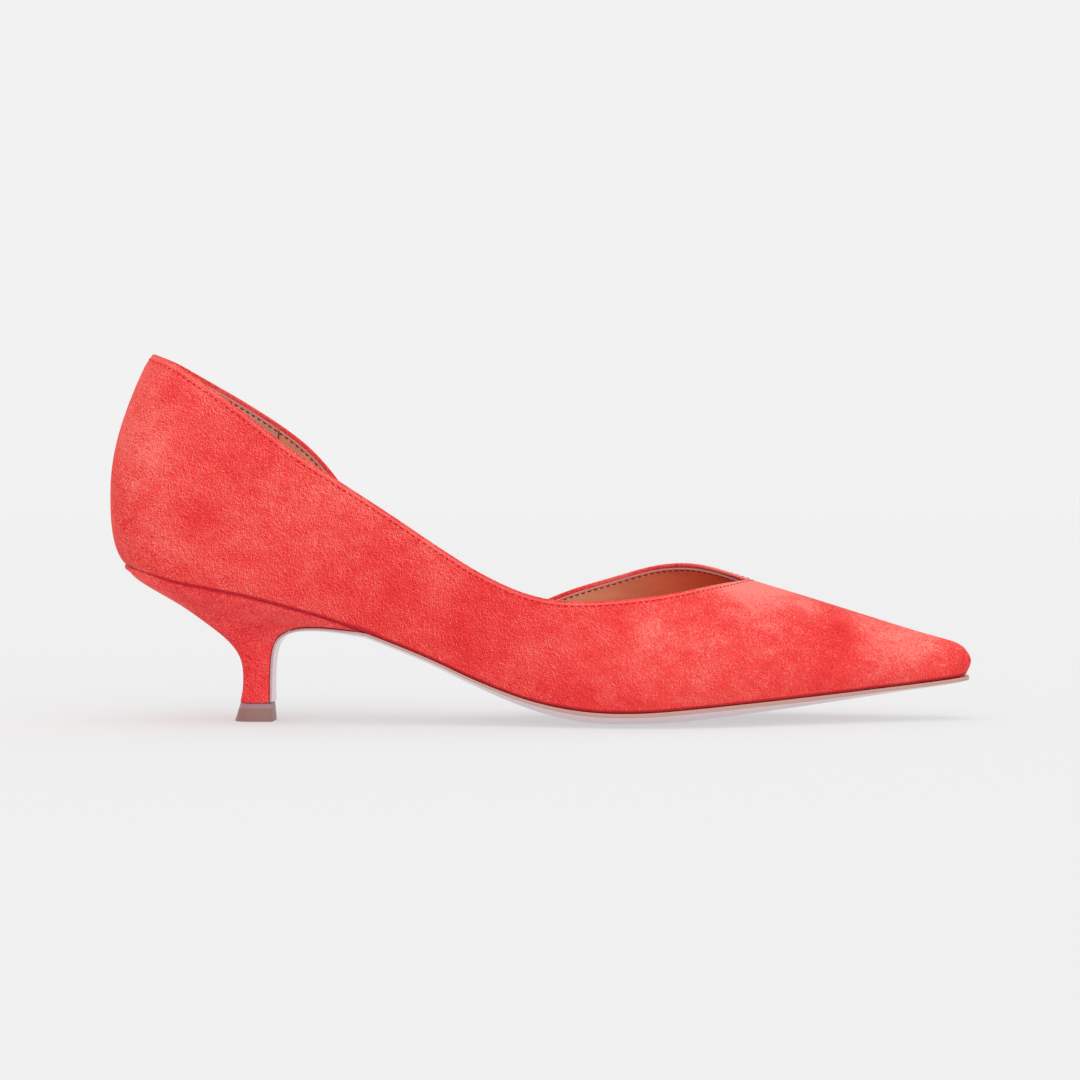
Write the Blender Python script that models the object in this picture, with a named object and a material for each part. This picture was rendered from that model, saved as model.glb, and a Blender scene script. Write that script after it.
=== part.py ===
"""Kitten heel pump: a right shoe with its inner side cut low.

Metres, +Z up. The toe points to +X and the inner side of the foot to +Y.
The origin is the centre of the heel tip's face on the ground.
"""
import math

import bmesh
import bpy

# The last, along the feather line, where upper and sole meet
LAST_LENGTH = 0.2507
HEEL_SETBACK = 0.0383
SEAT_WIDTH = 0.0500
WAIST_WIDTH = 0.0410
BALL_WIDTH = 0.0690
SEAT_HEIGHT = 0.0461
TREAD_EDGE_HEIGHT = 0.0048
TOE_SPRING = 0.0134
SEAT_ROUND = 0.0250
TOE_ROUND = 0.0060
TOE_ROUND_LEAST = 0.0030
ARCH_LIFT = 0.0025

# The upper
UPPER_WALL = 0.0018
BACK_HEIGHT = 0.0632
THROAT_HEIGHT = 0.0345
THROAT_STATION = 0.742
SIDE_BULGE = 0.0016
RIDGE_SHIFT = 0.0050
NOSE_ROUND = 0.0044
NOSE_SHARE = 0.78
NOSE_BULGE = 0.0016
NOSE_BULGE_POWER = 1.25
NOSE_BULGE_REACH = 0.0080
COUNTER_REACH = 0.076
LASTING_OPENING = 0.62
TOE_TURN_IN = 0.0135

# The bottom of the shoe
INSOLE_THICKNESS = 0.0016
INSOLE_TOE_GAP = 0.0087
OUTSOLE_EDGE = 0.0014
OUTSOLE_SWELL = 0.0018
CROWN_POWER = 2.8
FLAP_THICKNESS = 0.0008
OUTSOLE_PROUD = 0.0004
TOE_PROUD = 0.0010
TOE_PROUD_POWER = 8
CLEARANCE = 0.0003
WALL_CLEARANCE = 0.0011

# The heel
HEEL_REACH = 0.0330
STEM_LENGTH = 0.0081
STEM_BACK_SHARE = 0.41
HEEL_TURN = math.radians(6)
STEM_WIDTH = 0.0096
HEEL_FRONT_WIDTH = 0.88
HEEL_WIDEST_SHARE = 0.4
TIP_LENGTH = 0.0118
TIP_WIDTH = 0.0110
TIP_HEIGHT = 0.0054
TIP_TAPER = 0.88
TIP_BACK_FLARE = 0.0017
TIP_FRONT_FLARE = 0.0004

# How finely the curved forms are cut into faces
STATION_COUNT = 52
WALL_ROWS = 11
SOLE_COLUMNS = 10
INSOLE_STATIONS = 36
INSOLE_COLUMNS = 8
HEEL_SIDE_POINTS = 10
HEEL_FRONT_POINTS = 6
WELD = 1e-6
PATH_STEPS = 60
OUTSOLE_STATIONS = 44
SLOPE_STEP = 0.02
SHARP_ANGLE = math.radians(40)

# Widths are shares of the seat, waist and ball, swing is the centre line's shift to the
# inner side as a share of the ball width, and heights are shares of the rise at the seat
# and at the toe. The crown is a share of the half width. Arch, edge and swell are shares of
# the inner arch's lift and of the outsole's edge and its added depth in the middle.
LAST_COLUMNS = (
    "station", "seat", "waist", "ball", "swing", "seat_rise", "toe_rise", "crown", "arch", "edge", "swell"
)
LAST_ROWS = (
    (0.00, 1.00, 0.00, 0.00, 0.000, 1.000, 0.000, 0.040, 0.0, 0.70, 0.20),
    (0.03, 1.00, 0.00, 0.00, 0.000, 0.962, 0.000, 0.040, 0.0, 0.70, 0.20),
    (0.06, 1.00, 0.00, 0.00, 0.000, 0.913, 0.000, 0.040, 0.0, 0.70, 0.20),
    (0.10, 1.00, 0.00, 0.00, -0.002, 0.866, 0.000, 0.040, 0.1, 0.70, 0.20),
    (0.15, 0.80, 0.24, 0.00, -0.006, 0.806, 0.000, 0.045, 0.3, 0.70, 0.20),
    (0.20, 0.55, 0.49, 0.00, -0.012, 0.724, 0.000, 0.050, 0.6, 0.70, 0.20),
    (0.25, 0.32, 0.72, 0.00, -0.022, 0.636, 0.000, 0.050, 0.8, 0.70, 0.20),
    (0.30, 0.12, 0.91, 0.00, -0.034, 0.523, 0.000, 0.050, 1.0, 0.70, 0.25),
    (0.36, 0.00, 1.00, 0.01, -0.051, 0.375, 0.000, 0.050, 1.0, 0.70, 0.30),
    (0.42, 0.00, 0.94, 0.07, -0.062, 0.208, 0.000, 0.050, 0.8, 0.75, 0.45),
    (0.48, 0.00, 0.70, 0.29, -0.062, 0.077, 0.000, 0.050, 0.4, 0.85, 0.75),
    (0.54, 0.00, 0.29, 0.68, -0.045, 0.010, 0.000, 0.050, 0.1, 1.00, 1.05),
    (0.60, 0.00, 0.03, 0.95, -0.020, 0.000, 0.000, 0.050, 0.0, 1.00, 1.08),
    (0.66, 0.00, 0.00, 1.00, 0.003, 0.000, 0.120, 0.048, 0.0, 1.00, 1.30),
    (0.72, 0.00, 0.00, 0.91, 0.020, 0.000, 0.260, 0.045, 0.0, 1.00, 1.15),
    (0.80, 0.00, 0.00, 0.69, 0.036, 0.000, 0.436, 0.045, 0.0, 1.00, 0.80),
    (0.88, 0.00, 0.00, 0.45, 0.042, 0.000, 0.637, 0.045, 0.0, 0.90, 0.50),
    (0.94, 0.00, 0.00, 0.29, 0.043, 0.000, 0.802, 0.040, 0.0, 0.90, 0.30),
    (1.00, 0.00, 0.00, 0.165, 0.043, 0.000, 1.000, 0.040, 0.0, 0.90, 0.15),
)

# The arch is the height of each section's ridge over the feather line, as shares of the
# back and throat heights. Squareness is the exponent of the section's curve, and ridge is
# the share of the ridge's shift to the inner side.
SECTION_COLUMNS = ("station", "back", "throat", "squareness", "ridge", "bulge")
SECTION_ROWS = (
    (0.00, 1.39, 0.00, 2.25, 0.0, 1.0),
    (0.10, 1.33, 0.00, 2.25, 0.0, 1.0),
    (0.20, 1.23, 0.00, 2.25, 0.1, 0.9),
    (0.30, 0.90, 0.43, 2.25, 0.3, 0.6),
    (0.40, 0.50, 1.09, 2.25, 0.6, 0.5),
    (0.50, 0.20, 1.55, 2.22, 0.9, 0.7),
    (0.60, 0.05, 1.50, 2.18, 1.0, 1.0),
    (0.67, 0.00, 1.27, 2.12, 1.0, 1.0),
    (0.742, 0.00, 1.00, 2.08, 0.9, 0.9),
    (0.80, 0.00, 0.839, 2.04, 0.7, 0.8),
    (0.88, 0.00, 0.606, 2.00, 0.4, 0.7),
    (0.94, 0.00, 0.429, 1.96, 0.2, 0.5),
    (1.00, 0.00, 0.257, 1.92, 0.0, 0.3),
)

# The cut edge of the upper, as shares of the turn from feather line (0) to ridge (1)
TOPLINE_COLUMNS = ("station", "outer", "inner")
TOPLINE_ROWS = (
    (0.000, 0.486, 0.486),
    (0.050, 0.484, 0.481),
    (0.100, 0.457, 0.461),
    (0.150, 0.419, 0.437),
    (0.200, 0.378, 0.407),
    (0.225, 0.361, 0.379),
    (0.250, 0.349, 0.328),
    (0.273, 0.339, 0.266),
    (0.293, 0.331, 0.206),
    (0.313, 0.322, 0.151),
    (0.333, 0.310, 0.109),
    (0.360, 0.294, 0.080),
    (0.392, 0.281, 0.081),
    (0.432, 0.271, 0.122),
    (0.460, 0.268, 0.167),
    (0.487, 0.272, 0.222),
    (0.520, 0.293, 0.294),
    (0.560, 0.335, 0.374),
    (0.600, 0.389, 0.471),
    (0.655, 0.508, 0.674),
    (0.690, 0.632, 0.827),
    (0.720, 0.780, 0.920),
    (0.742, 1.000, 1.000),
)

# The back seam's line: height as a share of the back height, and how far it lies behind
# (negative) or before the back of the seat, as a share of the back height
BACK_COLUMNS = ("height", "lean")
BACK_ROWS = (
    (0.000, 0.000),
    (0.030, -0.024),
    (0.090, -0.050),
    (0.170, -0.064),
    (0.320, -0.071),
    (0.480, -0.062),
    (0.650, -0.022),
    (0.790, 0.028),
    (0.900, 0.075),
    (1.000, 0.125),
    (1.400, 0.300),
)

# Heel sections from the seat down. Each reaches from a back point to a front point, given
# as shares of the way from the stem to the seat, and from the foot of the heel upwards.
HEEL_COLUMNS = ("back", "back_height", "front", "front_height", "width", "crown")
HEEL_ROWS = (
    (1.000, 1.000, 1.000, 1.000, 1.000, 1.0),
    (0.944, 0.926, 0.789, 1.038, 0.900, 1.0),
    (0.748, 0.824, 0.565, 1.062, 0.703, 0.8),
    (0.524, 0.714, 0.361, 1.050, 0.480, 0.5),
    (0.328, 0.587, 0.225, 1.002, 0.282, 0.2),
    (0.174, 0.487, 0.119, 0.928, 0.158, 0.0),
    (0.076, 0.400, 0.046, 0.809, 0.074, 0.0),
    (0.014, 0.310, 0.012, 0.627, 0.020, 0.0),
    (0.000, 0.181, 0.000, 0.359, 0.000, 0.0),
    (0.008, 0.082, 0.000, 0.163, 0.010, 0.0),
    (0.028, 0.000, 0.000, 0.000, 0.040, 0.0),
)


def smooth_curve(columns, rows, name):
    """Return a function that runs smoothly through one column of a table."""
    at = columns.index(name)
    xs = [row[0] for row in rows]
    ys = [row[at] for row in rows]
    steps = [(ys[i + 1] - ys[i]) / (xs[i + 1] - xs[i]) for i in range(len(xs) - 1)]
    slopes = [steps[0]]
    for i in range(1, len(steps)):
        before = xs[i] - xs[i - 1]
        after = xs[i + 1] - xs[i]
        slopes.append((steps[i - 1] * after + steps[i] * before) / (before + after))
    slopes.append(steps[-1])

    def value(x):
        x = min(max(x, xs[0]), xs[-1])
        i = 0
        while i < len(xs) - 2 and x > xs[i + 1]:
            i += 1
        span = xs[i + 1] - xs[i]
        t = (x - xs[i]) / span
        return (
            ys[i] * (1 + 2 * t) * (1 - t) ** 2
            + ys[i + 1] * t * t * (3 - 2 * t)
            + slopes[i] * span * t * (1 - t) ** 2
            - slopes[i + 1] * span * t * t * (1 - t)
        )

    return value


LAST = {name: smooth_curve(LAST_COLUMNS, LAST_ROWS, name) for name in LAST_COLUMNS[1:]}
SECTION = {name: smooth_curve(SECTION_COLUMNS, SECTION_ROWS, name) for name in SECTION_COLUMNS[1:]}
TOPLINE = {name: smooth_curve(TOPLINE_COLUMNS, TOPLINE_ROWS, name) for name in TOPLINE_COLUMNS[1:]}
BACK_LEAN = smooth_curve(BACK_COLUMNS, BACK_ROWS, "lean")
BACK_X = -HEEL_SETBACK
TOE_X = BACK_X + LAST_LENGTH


def mix(a, b, share):
    return a + (b - a) * share


def station_of(x):
    return (x - BACK_X) / LAST_LENGTH


def x_of(station):
    return BACK_X + station * LAST_LENGTH


def round_end(distance, radius):
    """Share of the full width at a distance from a round end."""
    reach = min(max(distance / radius, 0.0), 1.0)
    return math.sqrt(1 - (1 - reach) ** 2)


def full_half_width(x):
    s = station_of(x)
    return 0.5 * (LAST["seat"](s) * SEAT_WIDTH + LAST["waist"](s) * WAIST_WIDTH + LAST["ball"](s) * BALL_WIDTH)


def half_width(x, inset=0.0):
    """Half the width of the outline at x, with the outline drawn in by inset."""
    back = round_end(x - BACK_X - inset, SEAT_ROUND - inset)
    toe = round_end(TOE_X - inset - x, max(TOE_ROUND - inset, TOE_ROUND_LEAST))
    return (full_half_width(x) - inset) * back * toe


def centre_line(x):
    return LAST["swing"](station_of(x)) * BALL_WIDTH


def feather_height(x):
    s = station_of(x)
    seat = LAST["seat_rise"](s) * (SEAT_HEIGHT - TREAD_EDGE_HEIGHT)
    toe = LAST["toe_rise"](s) * (TOE_SPRING - TREAD_EDGE_HEIGHT)
    return TREAD_EDGE_HEIGHT + seat + toe


def last_bottom(x, y):
    """Height of the last's underside: crowned across, with a lifted inner arch."""
    s = station_of(x)
    half = half_width(x)
    full = full_half_width(x)
    across = min(abs(y - centre_line(x)) / half, 1.0) if half > WELD else 1.0
    crown = LAST["crown"](s) * full * (half / full) ** 2 * (1 - across ** CROWN_POWER)
    lift = ARCH_LIFT * LAST["arch"](s) * across ** 2 if y > centre_line(x) else 0.0
    return feather_height(x) - crown + lift


def steepness(x, y):
    """Upright depth of a layer that lies on the last's underside, for each unit of thickness."""
    step = SLOPE_STEP
    middle = centre_line(x)
    reach = half_width(x) * step
    if reach < WELD:
        return 1.0
    near_y = mix(y, middle, step) + step * reach
    far_y = mix(y, middle, step) - step * reach
    side = (last_bottom(x, near_y) - last_bottom(x, far_y)) / (near_y - far_y)
    along = (feather_height(x + reach) - feather_height(x - reach)) / (2 * reach)
    return math.sqrt(1 + side * side + along * along)


def arch_height(station):
    height = SECTION["back"](station) * BACK_HEIGHT + SECTION["throat"](station) * THROAT_HEIGHT
    nose = round_end(TOE_X - x_of(station), NOSE_ROUND)
    return height * mix(NOSE_SHARE, 1.0, nose)


def wall_point(station, side, turn):
    """Point on the outside of the upper; side is -1 outer or 1 inner."""
    x = x_of(station)
    half = half_width(x)
    power = 2 / SECTION["squareness"](station)
    angle = turn * math.pi / 2
    arch = arch_height(station)
    climb = math.sin(angle) ** power
    spread = max(math.cos(angle), 0.0) ** power
    roundness = half / full_half_width(x)
    bulge = SIDE_BULGE * SECTION["bulge"](station) * math.sin(math.pi * math.sqrt(min(climb, 1.0))) * roundness
    shift = RIDGE_SHIFT * SECTION["ridge"](station) * climb ** 2
    y = centre_line(x) + shift + side * (half * spread + bulge)
    base = feather_height(x)
    lift = last_bottom(x, centre_line(x) + side * half) - base
    height = arch * climb
    counter = max(1 - (x - BACK_X) / COUNTER_REACH, 0.0) ** 2
    lean = BACK_LEAN(height / BACK_HEIGHT) * BACK_HEIGHT * counter
    swelling = math.sin(math.pi * min(climb, 1.0) ** NOSE_BULGE_POWER)
    nose = NOSE_BULGE * swelling * max(1 - (TOE_X - x) / NOSE_BULGE_REACH, 0.0)
    return (x + lean + nose, y, base + lift * (1 - climb) + height)


def even_wall(station, side, top, rows):
    """Points evenly spaced up the wall, from the feather line to the cut edge."""
    path = [wall_point(station, side, top * i / PATH_STEPS) for i in range(PATH_STEPS + 1)]
    lengths = [0.0]
    for i in range(PATH_STEPS):
        lengths.append(lengths[-1] + math.dist(path[i], path[i + 1]))
    points = []
    i = 0
    for row in range(rows + 1):
        goal = lengths[-1] * row / rows
        while i < PATH_STEPS - 1 and lengths[i + 1] < goal:
            i += 1
        share = (goal - lengths[i]) / (lengths[i + 1] - lengths[i])
        points.append(wall_point(station, side, top * (i + share) / PATH_STEPS))
    return points


def lasting_point(station, side, share):
    """Point on the turned-in margin, from the feather line (0) to its inner edge (1)."""
    x = x_of(station)
    drawn = mix(1.0, LASTING_OPENING, share)
    y = centre_line(x) + side * half_width(x) * drawn
    seat_centre = BACK_X + SEAT_ROUND
    toe_centre = TOE_X - TOE_TURN_IN
    if x < seat_centre:
        x = seat_centre + (x - seat_centre) * drawn
    elif x > toe_centre:
        x = toe_centre + (x - toe_centre) * drawn
    return (x, y, last_bottom(x, y))


def stations(count, first=0.0, last=1.0):
    """Stations packed closer at both ends, where the outline turns."""
    return [mix(first, last, 0.5 - 0.5 * math.cos(math.pi * i / count)) for i in range(count + 1)]


def upper_stations():
    values = stations(STATION_COUNT)
    nearest = min(range(len(values)), key=lambda i: abs(values[i] - THROAT_STATION))
    values[nearest] = THROAT_STATION
    return values


def add_grid(mesh, rows, flip=False):
    """Faces between rows of points; points that fall together are merged later."""
    verts = [[mesh.verts.new(point) for point in row] for row in rows]
    for i in range(len(verts) - 1):
        for j in range(len(verts[i]) - 1):
            corners = [verts[i][j], verts[i + 1][j], verts[i + 1][j + 1], verts[i][j + 1]]
            if flip:
                corners.reverse()
            mesh.faces.new(corners)


def finish_mesh(name, mesh, colour, roughness):
    bmesh.ops.remove_doubles(mesh, verts=mesh.verts, dist=WELD)
    bmesh.ops.dissolve_degenerate(mesh, edges=mesh.edges, dist=WELD)
    data = bpy.data.meshes.new(name)
    mesh.to_mesh(data)
    mesh.free()
    data.shade_smooth()
    data.set_sharp_from_angle(angle=SHARP_ANGLE)
    material = bpy.data.materials.new(name)
    material.use_nodes = True
    shader = material.node_tree.nodes["Principled BSDF"]
    shader.inputs["Base Color"].default_value = (*colour, 1.0)
    shader.inputs["Roughness"].default_value = roughness
    shader.inputs["Metallic"].default_value = 0.0
    data.materials.append(material)
    piece = bpy.data.objects.new(name, data)
    bpy.context.scene.collection.objects.link(piece)
    return piece


def make_upper():
    """The outside of the upper as a sheet, given its wall by a Solidify modifier."""
    mesh = bmesh.new()
    for side, name in ((-1, "outer"), (1, "inner")):
        rows = []
        for s in upper_stations():
            top = TOPLINE[name](s) if s < THROAT_STATION else 1.0
            margin = [lasting_point(s, side, share) for share in (1.0, 0.5)]
            rows.append(margin + even_wall(s, side, top, WALL_ROWS))
        add_grid(mesh, rows, flip=side > 0)
    piece = finish_mesh("upper", mesh, (0.85, 0.075, 0.06), 0.9)
    wall = piece.modifiers.new("wall", "SOLIDIFY")
    wall.thickness = UPPER_WALL
    wall.offset = -1
    wall.use_even_offset = True
    wall.use_quality_normals = True
    return piece


def sole_slab(mesh, tops, bottoms):
    """A closed slab between two grids with the same rows and columns."""
    add_grid(mesh, tops)
    add_grid(mesh, bottoms, flip=True)
    first = [[top[0], bottom[0]] for top, bottom in zip(tops, bottoms)]
    last = [[top[-1], bottom[-1]] for top, bottom in zip(tops, bottoms)]
    add_grid(mesh, first, flip=True)
    add_grid(mesh, last)
    add_grid(mesh, [tops[0], bottoms[0]], flip=True)
    add_grid(mesh, [tops[-1], bottoms[-1]])


def across(x, inset, columns):
    half = half_width(x, inset)
    return [centre_line(x) + half * (2 * i / columns - 1) for i in range(columns + 1)]


def make_insole():
    mesh = bmesh.new()
    inset = UPPER_WALL + WALL_CLEARANCE
    below = UPPER_WALL + CLEARANCE
    above = below + INSOLE_THICKNESS
    tops = []
    bottoms = []
    for s in stations(INSOLE_STATIONS):
        x = mix(BACK_X + inset, TOE_X - INSOLE_TOE_GAP, s)
        ys = across(x, inset, INSOLE_COLUMNS)
        bottoms.append([(x, y, last_bottom(x, y) + below * steepness(x, y)) for y in ys])
        tops.append([(x, y, last_bottom(x, y) + above * steepness(x, y)) for y in ys])
    sole_slab(mesh, tops, bottoms)
    return finish_mesh("insole", mesh, (0.45, 0.19, 0.11), 0.6)


def heel_section(row):
    """Back point, front point, half width and crown of one heel section."""
    back, back_height, front, front_height, width, crown = row
    stem_back = -STEM_LENGTH * STEM_BACK_SHARE
    stem_front = STEM_LENGTH * (1 - STEM_BACK_SHARE)
    foot = TIP_HEIGHT + CLEARANCE
    reach_height = feather_height(HEEL_REACH) - CLEARANCE
    back_point = (mix(stem_back, BACK_X, back), mix(foot, SEAT_HEIGHT - CLEARANCE, back_height))
    front_point = (mix(stem_front, HEEL_REACH, front), mix(foot, reach_height, front_height))
    return back_point, front_point, mix(STEM_WIDTH, SEAT_WIDTH, width) / 2, crown


def heel_outline(share):
    """Half width of a heel section, as a share, from its round back (0) to its front (1)."""
    roundness = round_end(share * (HEEL_SETBACK + HEEL_REACH), SEAT_ROUND)
    narrowing = max(share - HEEL_WIDEST_SHARE, 0.0) / (1 - HEEL_WIDEST_SHARE)
    return roundness * mix(1.0, HEEL_FRONT_WIDTH, narrowing)


def heel_point(row, share, side_share):
    """Point in a heel section: share from back to front, side_share from -1 to 1 across."""
    back_point, front_point, half, crown = heel_section(row)
    x = mix(back_point[0], front_point[0], share)
    if row is HEEL_ROWS[0]:
        y = centre_line(x) + half_width(x) * side_share
        return (x, y, last_bottom(x, y) - CLEARANCE)
    y = half * heel_outline(share) * side_share
    dip = crown * LAST["crown"](station_of(x)) * full_half_width(x) * (1 - abs(side_share) ** CROWN_POWER)
    turn = HEEL_TURN * (1 - row[4])
    turned_x = x * math.cos(turn) + y * math.sin(turn)
    turned_y = y * math.cos(turn) - x * math.sin(turn)
    return (turned_x, turned_y + centre_line(x) * crown, mix(back_point[1], front_point[1], share) - dip * share ** 2)


def heel_shares():
    return [0.5 * (1 - math.cos(math.pi * i / HEEL_SIDE_POINTS)) for i in range(HEEL_SIDE_POINTS + 1)]


def heel_sides():
    return [2 * i / HEEL_FRONT_POINTS - 1 for i in range(HEEL_FRONT_POINTS + 1)]


def heel_ring(row):
    outer = [heel_point(row, share, -1) for share in heel_shares()]
    front = [heel_point(row, 1.0, side) for side in heel_sides()[1:-1]]
    inner = [heel_point(row, share, 1) for share in reversed(heel_shares())]
    return outer + front + inner


def make_heel():
    mesh = bmesh.new()
    rings = [heel_ring(row) for row in HEEL_ROWS]
    add_grid(mesh, rings)
    seat = [[heel_point(HEEL_ROWS[0], share, side) for side in heel_sides()] for share in heel_shares()]
    foot = [[heel_point(HEEL_ROWS[-1], share, side) for side in heel_sides()] for share in heel_shares()]
    add_grid(mesh, seat)
    add_grid(mesh, foot, flip=True)
    return finish_mesh("heel", mesh, (0.80, 0.06, 0.05), 0.9)


def make_top_piece():
    mesh = bmesh.new()
    rings = []
    for height, taper, flare in ((0.0, 1.0, 0.0), (TIP_HEIGHT, TIP_TAPER, 1.0)):
        back = -TIP_LENGTH / 2 + flare * TIP_BACK_FLARE
        front = TIP_LENGTH / 2 - flare * TIP_FRONT_FLARE
        ring = []
        for side in (-1, 1):
            shares = heel_shares() if side < 0 else heel_shares()[::-1]
            for share in shares:
                x = mix(back, front, share)
                y = side * taper * heel_outline(share) * TIP_WIDTH / 2
                turned_x = x * math.cos(HEEL_TURN) + y * math.sin(HEEL_TURN)
                ring.append((turned_x, y * math.cos(HEEL_TURN) - x * math.sin(HEEL_TURN), height))
        rings.append(ring)
    add_grid(mesh, rings, flip=True)
    bmesh.ops.remove_doubles(mesh, verts=mesh.verts, dist=WELD)
    for height in (0.0, TIP_HEIGHT):
        level = [vert for vert in mesh.verts if abs(vert.co.z - height) < WELD]
        rim = [edge for edge in mesh.edges if edge.verts[0] in level and edge.verts[1] in level]
        bmesh.ops.contextual_create(mesh, geom=rim)
    bmesh.ops.recalc_face_normals(mesh, faces=mesh.faces)
    return finish_mesh("top_piece", mesh, (0.27, 0.14, 0.12), 0.45)


def breast_path():
    """Points down the heel's breast, each with the way that faces forward and down."""
    path = []
    for i, row in enumerate(HEEL_ROWS[1:], start=1):
        before = heel_point(HEEL_ROWS[i - 1], 1.0, 0)
        after = heel_point(HEEL_ROWS[min(i + 1, len(HEEL_ROWS) - 1)], 1.0, 0)
        along = (after[0] - before[0], after[2] - before[2])
        length = math.hypot(*along)
        path.append((row, (-along[1] / length, along[0] / length)))
    return path


def make_outsole():
    """The sole from the toe to the heel's wings, then down the heel's breast."""
    mesh = bmesh.new()
    tops = []
    bottoms = []
    first = station_of(HEEL_REACH + CLEARANCE)
    sides = [2 * i / SOLE_COLUMNS - 1 for i in range(SOLE_COLUMNS + 1)]
    for s in reversed(stations(OUTSOLE_STATIONS, first)):
        x = x_of(s)
        toe_x = x + TOE_PROUD * s ** TOE_PROUD_POWER
        ys = across(x, -OUTSOLE_PROUD, SOLE_COLUMNS)
        if s == 1.0:
            ys = [centre_line(x)] * len(ys)
        top = [(toe_x, y, last_bottom(x, y) - CLEARANCE) for y in ys]
        tops.append(top)
        edge = OUTSOLE_EDGE * LAST["edge"](s)
        swell = OUTSOLE_SWELL * LAST["swell"](s) * (half_width(x) / full_half_width(x)) ** 2
        depths = [edge + swell * (1 - abs(side) ** CROWN_POWER) for side in sides]
        bottoms.append([(px, py, max(pz - depth, 0.0)) for (px, py, pz), depth in zip(top, depths)])
    for row, facing in breast_path():
        face = [heel_point(row, 1.0, side) for side in sides]
        near = CLEARANCE
        far = CLEARANCE + FLAP_THICKNESS
        tops.append([(x + facing[0] * near, y, z + facing[1] * near) for x, y, z in face])
        bottoms.append([(x + facing[0] * far, y, z + facing[1] * far) for x, y, z in face])
    sole_slab(mesh, tops, bottoms)
    bmesh.ops.remove_doubles(mesh, verts=mesh.verts, dist=WELD)
    bmesh.ops.recalc_face_normals(mesh, faces=mesh.faces)
    return finish_mesh("outsole", mesh, (0.62, 0.34, 0.28), 0.35)


def main():
    for old in list(bpy.data.objects):
        bpy.data.objects.remove(old)
    make_upper()
    make_insole()
    make_outsole()
    make_heel()
    make_top_piece()


main()
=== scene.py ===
import math

import bmesh
import bpy
from mathutils import Matrix, Vector
from mathutils.bvhtree import BVHTree
from mathutils.kdtree import KDTree


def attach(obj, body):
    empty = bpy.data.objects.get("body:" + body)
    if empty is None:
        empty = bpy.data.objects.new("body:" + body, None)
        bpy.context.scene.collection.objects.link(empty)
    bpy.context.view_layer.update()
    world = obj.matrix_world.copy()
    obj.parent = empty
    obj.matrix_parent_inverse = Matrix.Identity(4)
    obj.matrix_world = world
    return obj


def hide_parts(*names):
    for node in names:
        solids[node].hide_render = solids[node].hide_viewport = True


mm = 0.001

print("pump: loading the solids")
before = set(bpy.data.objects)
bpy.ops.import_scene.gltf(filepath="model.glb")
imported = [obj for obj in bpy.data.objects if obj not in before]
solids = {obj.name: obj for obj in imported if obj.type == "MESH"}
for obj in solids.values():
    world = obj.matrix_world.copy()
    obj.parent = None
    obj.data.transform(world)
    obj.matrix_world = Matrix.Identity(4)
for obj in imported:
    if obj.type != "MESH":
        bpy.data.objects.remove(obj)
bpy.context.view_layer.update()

# what several pieces share: places along the shoe, and angles in degrees
shoe = {
    "backFrom": -22 * mm,
    "backEnd": -36 * mm,
    "throatFrom": 118 * mm,
    "throatEnd": 143 * mm,
    "merge": 0.01 * mm,
    "quadFlat": 60,
    "quadSquare": 75,
    "sharp": 50,
    "fineStep": 0.2 * mm,
    "evenedOver": 3,
}


def only(piece):
    bpy.ops.object.select_all(action="DESELECT")
    piece.select_set(True)
    bpy.context.view_layer.objects.active = piece


def startEdit(piece, kind="FACE"):
    only(piece)
    bpy.ops.object.mode_set(mode="EDIT")
    bpy.ops.mesh.select_mode(type=kind)
    bpy.ops.mesh.select_all(action="DESELECT")


def endEdit():
    bpy.ops.object.mode_set(mode="OBJECT")


def pickFaces(piece, wanted):
    mesh = bmesh.from_edit_mesh(piece.data)
    for face in mesh.faces:
        face.select_set(bool(wanted(face)))
    bmesh.update_edit_mesh(piece.data)


def pickEdges(piece, wanted):
    mesh = bmesh.from_edit_mesh(piece.data)
    for edge in mesh.edges:
        edge.select_set(bool(wanted(edge)))
    bmesh.update_edit_mesh(piece.data)


def isSharp(edge):
    return len(edge.link_faces) == 2 and edge.calc_face_angle() > math.radians(shoe["sharp"])


def finishWith(piece, kind, **settings):
    only(piece)
    modifier = piece.modifiers.new(kind.lower(), kind)
    for key, setting in settings.items():
        setattr(modifier, key, setting)
    bpy.ops.object.modifier_apply(modifier=modifier.name)


def roundEdges(piece, width, segments):
    sharp = math.radians(shoe["sharp"])
    finishWith(piece, "BEVEL", width=width, segments=segments, limit_method="ANGLE", angle_limit=sharp)


def smoothOut(piece, levels):
    finishWith(piece, "SUBSURF", levels=levels, render_levels=levels)
    piece.data.shade_smooth()


def copySolid(nodeName, name):
    # a copy of a solid's mesh, merged and back in quads, for a finer piece to start from
    mesh = solids[nodeName].data.copy()
    mesh.name = name
    mesh.materials.clear()
    piece = bpy.data.objects.new(name, mesh)
    bpy.context.scene.collection.objects.link(piece)
    flat = math.radians(shoe["quadFlat"])
    square = math.radians(shoe["quadSquare"])
    startEdit(piece)
    bpy.ops.mesh.select_all(action="SELECT")
    bpy.ops.mesh.remove_doubles(threshold=shoe["merge"])
    bpy.ops.mesh.tris_convert_to_quads(face_threshold=flat, shape_threshold=square)
    bpy.ops.mesh.mark_sharp(clear=True)
    bpy.ops.mesh.customdata_custom_splitnormals_clear()
    endEdit()
    return piece


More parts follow.
